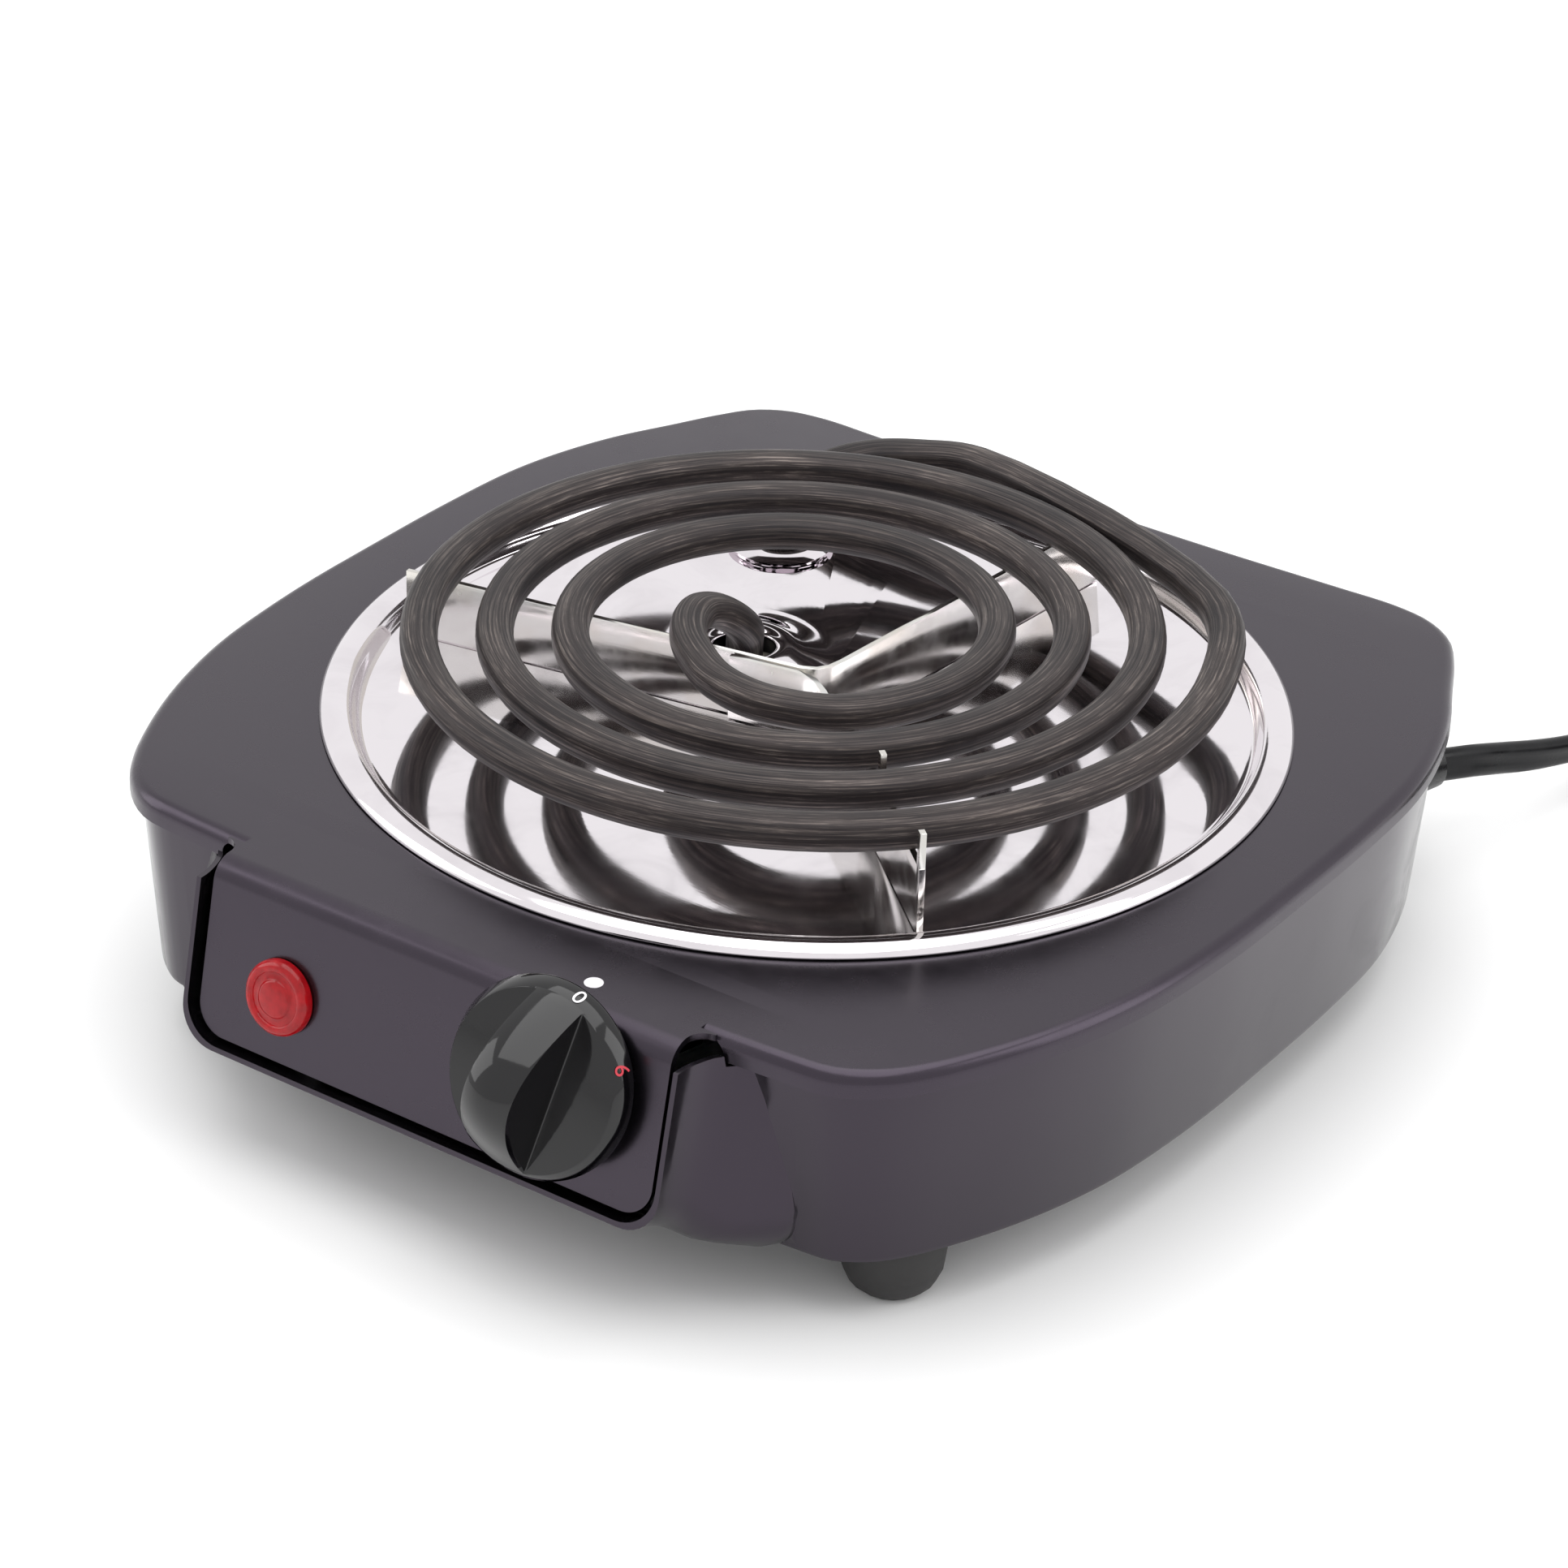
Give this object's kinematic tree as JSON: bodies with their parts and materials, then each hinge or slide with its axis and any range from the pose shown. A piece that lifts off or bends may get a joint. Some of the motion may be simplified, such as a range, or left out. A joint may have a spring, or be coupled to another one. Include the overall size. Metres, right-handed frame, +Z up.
{
  "type": "hot plate burner",
  "caption": "Portable spiral-coil electric hot plate: black enamelled pressed-steel body, mirror drip pan, grip-bar temperature knob, red lamp and supply cord.",
  "frame": {"origin": "centre of the footprint, without the supply cord, on the table under the feet", "axes": "+Z up; the control panel faces -Y; +X is to the right of someone facing the panel"},
  "size_m": [0.3068, 0.3619, 0.0727],
  "materials": {
    "cover_enamel": "satin black enamel, fine orange peel",
    "base_enamel": "glossy black enamel",
    "zinc_steel": "zinc-plated pressed steel",
    "foot_rubber": "moulded rubber",
    "pan_chrome": "mirror-plated steel",
    "element_sheath": "oxidised alloy tube with drawn streaks",
    "support_steel": "polished stainless strip",
    "ceramic": "unglazed steatite",
    "bakelite": "moulded phenolic",
    "knob_black": "glossy black moulding",
    "brass": "plain brass",
    "lens_red": "translucent red acrylic",
    "lamp_body": "moulded nylon",
    "wire_white": "silicone insulated wire",
    "wire_black": "insulated wire",
    "cord_black": "twin flat heater cord",
    "plug_black": "moulded plug"
  },
  "bodies": {
    "housing": {"top_cover": "cover_enamel", "base_shell": "base_enamel", "bottom_plate": "zinc_steel", "drip_pan": "pan_chrome", "heating_coil": "element_sheath", "coil_support_rear": "support_steel", "coil_support_front": "support_steel", "heat_shield": "zinc_steel", "element_bush_inner": "ceramic", "element_bush_outer": "ceramic", "element_tab_inner": "support_steel", "element_tab_outer": "support_steel", "strap_left": "zinc_steel", "strap_right": "zinc_steel", "thermostat_body": "bakelite", "thermostat_bracket": "zinc_steel", "indicator_lens": "lens_red", "indicator_body": "lamp_body", "indicator_retainer": "support_steel", "terminal_block": "ceramic", "terminal_screw_live": "brass", "terminal_screw_neutral": "brass", "wire_live": "wire_black", "wire_load": "wire_white", "wire_neutral": "wire_white", "wire_lamp_a": "wire_white", "wire_lamp_b": "wire_white", "cord_strain_relief": "cord_black", "power_cord": "cord_black", "cord_coil": "cord_black", "plug_body": "plug_black", "plug_pin_left": "brass", "plug_pin_right": "brass", "foot_front_left": "foot_rubber", "foot_screw_front_left": "zinc_steel", "foot_front_right": "foot_rubber", "foot_screw_front_right": "zinc_steel", "foot_rear_left": "foot_rubber", "foot_screw_rear_left": "zinc_steel", "foot_rear_right": "foot_rubber", "foot_screw_rear_right": "zinc_steel"},
    "knob": {"control_knob": "knob_black", "thermostat_shaft": "brass", "knob_spring_clip": "support_steel"}
  },
  "joints": [
    {"name": "temperature_knob", "type": "hinge", "parent": "housing", "child": "knob", "pos_m": [0.0268, -0.09857, 0.04108], "axis": [-0.0663, 0.9487, -0.309], "range_deg": [0, 300]}
  ]
}
